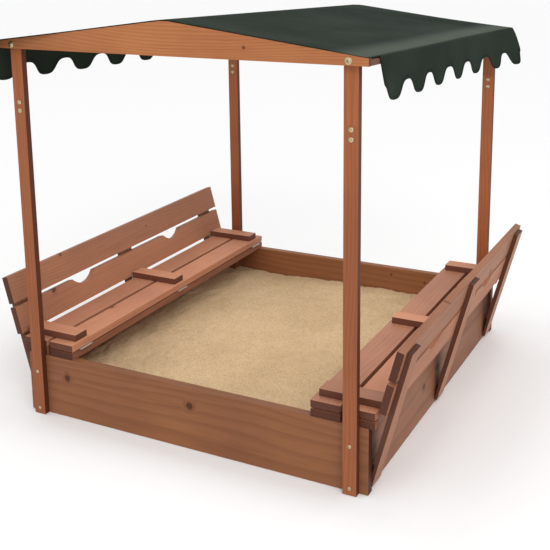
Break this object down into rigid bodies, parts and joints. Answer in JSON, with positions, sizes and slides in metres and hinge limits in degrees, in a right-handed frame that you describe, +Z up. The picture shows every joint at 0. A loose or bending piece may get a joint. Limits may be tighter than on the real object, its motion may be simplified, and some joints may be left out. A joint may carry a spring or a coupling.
{
  "type": "sandbox with cover",
  "caption": "wooden play sandbox whose split cover unfolds into facing bench seats with backs, under a ridged fabric roof on posts",
  "frame": {"origin": "on the ground, at the middle of the bounding box in X and Y", "axes": "+X towards the right-hand seat, +Y from front to back, +Z up"},
  "size_m": [1.2952, 1.4, 1.1916],
  "materials": {
    "frame_wood": "planed softwood with a translucent orange-brown glaze",
    "wall_wood": "planed softwood with knots and a translucent brown glaze",
    "bench_wood": "planed softwood with a thin pinkish brown glaze",
    "roof_cloth": "dark green woven cloth, matt, hemmed edges",
    "sand": "loose fine play sand",
    "zinc": "zinc plated"
  },
  "bodies": {
    "frame": {"canopy_cloth": "roof_cloth", "corner_blocks": "wall_wood", "eave_rail_left": "frame_wood", "eave_rail_right": "frame_wood", "gable_back": "frame_wood", "gable_bolts": "zinc", "gable_front": "frame_wood", "post_back_left_lower": "frame_wood", "post_back_left_upper": "frame_wood", "post_back_right_lower": "frame_wood", "post_back_right_upper": "frame_wood", "post_front_left_lower": "frame_wood", "post_front_left_upper": "frame_wood", "post_front_right_lower": "frame_wood", "post_front_right_upper": "frame_wood", "post_wall_screws": "zinc", "ridge_rail": "frame_wood", "rim_left_inner": "bench_wood", "rim_left_outer": "bench_wood", "rim_right_inner": "bench_wood", "rim_right_outer": "bench_wood", "sand_fill": "sand", "seat_hinge_left_rim_leaves": "zinc", "seat_hinge_right_rim_leaves": "zinc", "splice_bolts": "zinc", "wall_back": "wall_wood", "wall_front": "wall_wood", "wall_left": "wall_wood", "wall_right": "wall_wood"},
    "seat_left": {"back_hinge_left_seat_leaves": "zinc", "seat_hinge_left_seat_leaves": "zinc", "seat_left_cleat_back": "bench_wood", "seat_left_cleat_front": "bench_wood", "seat_left_cleat_middle": "bench_wood", "seat_left_cleat_screws": "zinc", "seat_left_inner_board": "bench_wood", "seat_left_outer_board": "bench_wood"},
    "seat_right": {"back_hinge_right_seat_leaves": "zinc", "seat_hinge_right_seat_leaves": "zinc", "seat_right_cleat_back": "bench_wood", "seat_right_cleat_front": "bench_wood", "seat_right_cleat_middle": "bench_wood", "seat_right_cleat_screws": "zinc", "seat_right_inner_board": "bench_wood", "seat_right_outer_board": "bench_wood"},
    "back_left": {"back_hinge_left_back_leaves": "zinc", "back_left_lower_board": "bench_wood", "back_left_strut_back": "bench_wood", "back_left_strut_front": "bench_wood", "back_left_strut_middle": "bench_wood", "back_left_strut_screws": "zinc", "back_left_upper_board": "bench_wood"},
    "back_right": {"back_hinge_right_back_leaves": "zinc", "back_right_lower_board": "bench_wood", "back_right_strut_back": "bench_wood", "back_right_strut_front": "bench_wood", "back_right_strut_middle": "bench_wood", "back_right_strut_screws": "zinc", "back_right_upper_board": "bench_wood"}
  },
  "joints": [
    {"name": "seat_fold_right", "type": "hinge", "parent": "frame", "child": "seat_right", "pos_m": [0.3805, 0, 0.2064], "axis": [0, -1, 0], "range_deg": [0, 180]},
    {"name": "back_fold_right", "type": "hinge", "parent": "seat_right", "child": "back_right", "pos_m": [0.57159, 0, 0.224], "axis": [0, 1, 0], "range_deg": [0, 75]},
    {"name": "seat_fold_left", "type": "hinge", "parent": "frame", "child": "seat_left", "pos_m": [-0.3805, 0, 0.2064], "axis": [0, 1, 0], "range_deg": [0, 180]},
    {"name": "back_fold_left", "type": "hinge", "parent": "seat_left", "child": "back_left", "pos_m": [-0.57159, 0, 0.224], "axis": [0, -1, 0], "range_deg": [0, 75]}
  ],
  "couplings": [
    {"joint": "back_fold_right", "follows": "seat_fold_right", "ratio": 0.41667},
    {"joint": "back_fold_left", "follows": "seat_fold_left", "ratio": 0.41667}
  ]
}
